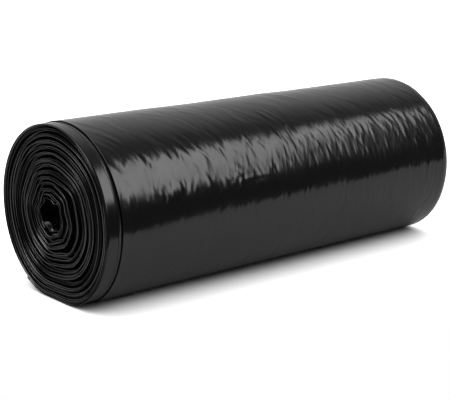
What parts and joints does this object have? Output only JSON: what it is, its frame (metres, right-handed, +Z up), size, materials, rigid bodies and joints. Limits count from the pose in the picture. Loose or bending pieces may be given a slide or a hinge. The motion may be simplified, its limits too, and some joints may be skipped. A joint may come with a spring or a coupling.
{
  "type": "bin bag roll",
  "caption": "Coreless roll of glossy black plastic bin bags: one folded web wound in loose spiral turns round a crumpled hollow, lying on its side.",
  "frame": {"origin": "middle of the roll's footprint, on the plane that it rests on", "axes": "+X along the roll towards its even end with soft corners, +Z up, -Y the side with the loose crescent"},
  "size_m": [0.232, 0.093, 0.0896],
  "materials": {
    "black_film": "thin glossy polyethylene film with fine creases"
  },
  "bodies": {
    "root": {"bag_roll": "black_film"}
  },
  "joints": []
}
